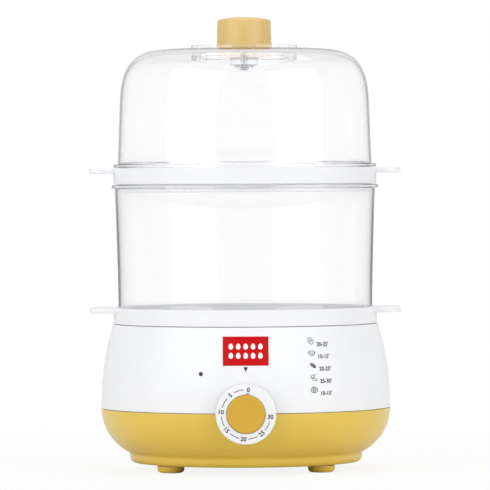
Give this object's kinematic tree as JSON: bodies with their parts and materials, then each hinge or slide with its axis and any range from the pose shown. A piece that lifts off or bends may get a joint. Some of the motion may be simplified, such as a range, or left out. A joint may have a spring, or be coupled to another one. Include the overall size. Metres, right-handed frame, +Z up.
{
  "type": "two-tier egg boiler",
  "caption": "Round electric egg steamer: heating base with a dial timer, stacked egg trays with a clear ring between them, clear domed lid with a knob.",
  "frame": {"origin": "on the floor under the pot's axis, midway between the feet", "axes": "+Z up along the pot's axis, -Y out through the dial, +X to the right of someone who faces the dial"},
  "size_m": [0.182, 0.182, 0.2646],
  "materials": {
    "white_plastic": "satin moulded",
    "yellow_plastic": "satin moulded",
    "pale_yellow_plastic": "fine matt",
    "cap_plastic": "satin",
    "clear_plastic": "polished clear",
    "coated_metal": "brushed",
    "rubber": "matt",
    "steel": "zinc plated",
    "dark_plastic": "matt",
    "grey_plastic": "matt",
    "lamp_glass": "polished"
  },
  "bodies": {
    "base": {"upper_housing": "white_plastic", "lower_housing": "yellow_plastic", "heating_pan": "coated_metal", "pan_seal": "rubber", "heater_element": "steel", "thermostat": "dark_plastic", "thermostat_strap": "steel", "thermal_fuse": "lamp_glass", "strap_nut_1": "steel", "strap_nut_2": "steel", "foot_1": "yellow_plastic", "foot_2": "yellow_plastic", "foot_3": "yellow_plastic", "foot_4": "yellow_plastic", "housing_screw_1": "steel", "housing_screw_2": "steel", "housing_screw_3": "steel", "pan_bracket_1": "steel", "pan_bracket_2": "steel", "pan_bracket_3": "steel", "pan_bracket_screw_1": "steel", "pan_bracket_screw_2": "steel", "pan_bracket_screw_3": "steel", "terminal_block": "white_plastic", "terminal_screw": "steel", "cord_gland": "dark_plastic", "timer_body": "grey_plastic", "timer_plate": "steel", "timer_screw_1": "steel", "timer_screw_2": "steel", "plate_screw_1": "steel", "plate_screw_2": "steel", "indicator_lens": "dark_plastic", "neon_lamp": "lamp_glass"},
    "dial": {"timer_shaft": "steel", "timer_dial": "white_plastic", "dial_cap": "cap_plastic"},
    "lower_tray": {"lower_egg_tray": "white_plastic"},
    "steam_ring": {"steam_ring": "clear_plastic"},
    "upper_tray": {"upper_egg_tray": "white_plastic"},
    "lid": {"lid_cover": "clear_plastic", "lid_knob": "pale_yellow_plastic", "lid_knob_washer": "steel", "lid_knob_screw": "steel"}
  },
  "joints": [
    {"name": "dial_turn", "type": "hinge", "parent": "base", "child": "dial", "pos_m": [0, -0.0851, 0.0363], "axis": [0, 1, 0], "range_deg": [0, 270]},
    {"name": "lower_tray_lift", "type": "slide", "parent": "base", "child": "lower_tray", "axis": [0, 0, 1], "range_m": [0, 0.04]},
    {"name": "ring_lift", "type": "slide", "parent": "lower_tray", "child": "steam_ring", "axis": [0, 0, 1], "range_m": [0, 0.08]},
    {"name": "upper_tray_lift", "type": "slide", "parent": "steam_ring", "child": "upper_tray", "axis": [0, 0, 1], "range_m": [0, 0.04]},
    {"name": "lid_lift", "type": "slide", "parent": "upper_tray", "child": "lid", "axis": [0, 0, 1], "range_m": [0, 0.08]}
  ]
}
